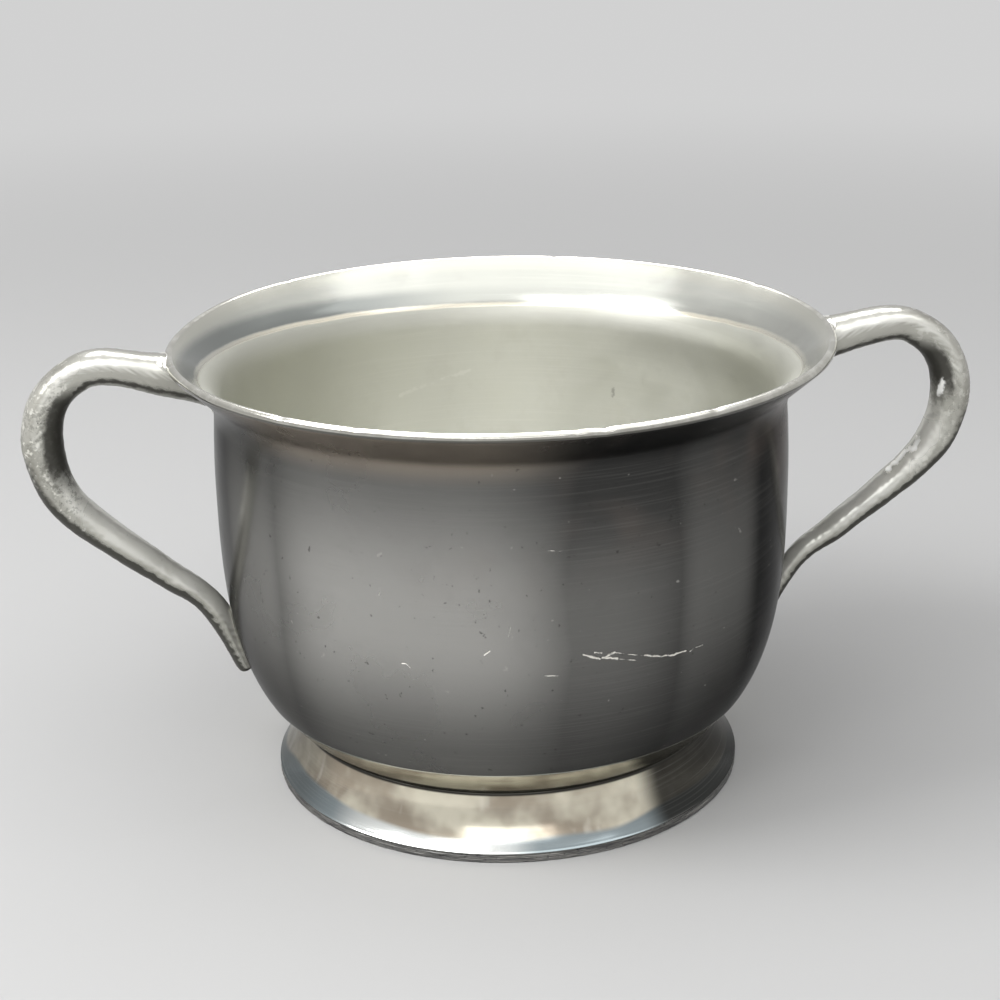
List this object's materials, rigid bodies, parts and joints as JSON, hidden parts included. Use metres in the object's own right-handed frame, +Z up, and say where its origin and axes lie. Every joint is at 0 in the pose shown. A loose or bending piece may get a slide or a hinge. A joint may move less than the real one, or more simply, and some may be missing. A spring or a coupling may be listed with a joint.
{
  "type": "sugar bowl",
  "caption": "Pewter sugar bowl with a flared rim, a low spun foot and a cast loop handle on each side.",
  "frame": {"origin": "on the table under the bowl's axis, at the centre of the foot's flat resting ring", "axes": "+Z up along the bowl's axis; +X along the handles, towards the one on the right as seen from the side that was pictured; +Y towards the back"},
  "size_m": [0.1567, 0.1096, 0.0778],
  "materials": {
    "bowl_pewter": "oxidised pewter, soft satin outside and lighter inside",
    "foot_pewter": "polished pewter with a rough-turned edge",
    "cast_pewter": "cast pewter, polished on the outside and grainy in the bends",
    "solder": "dull soft solder"
  },
  "bodies": {
    "root": {"bowl_body": "bowl_pewter", "foot": "foot_pewter", "foot_solder_fillet": "solder", "handle_left": "cast_pewter", "handle_right": "cast_pewter", "handle_left_top_solder": "solder", "handle_left_tip_solder": "solder", "handle_right_top_solder": "solder", "handle_right_tip_solder": "solder"}
  },
  "joints": []
}
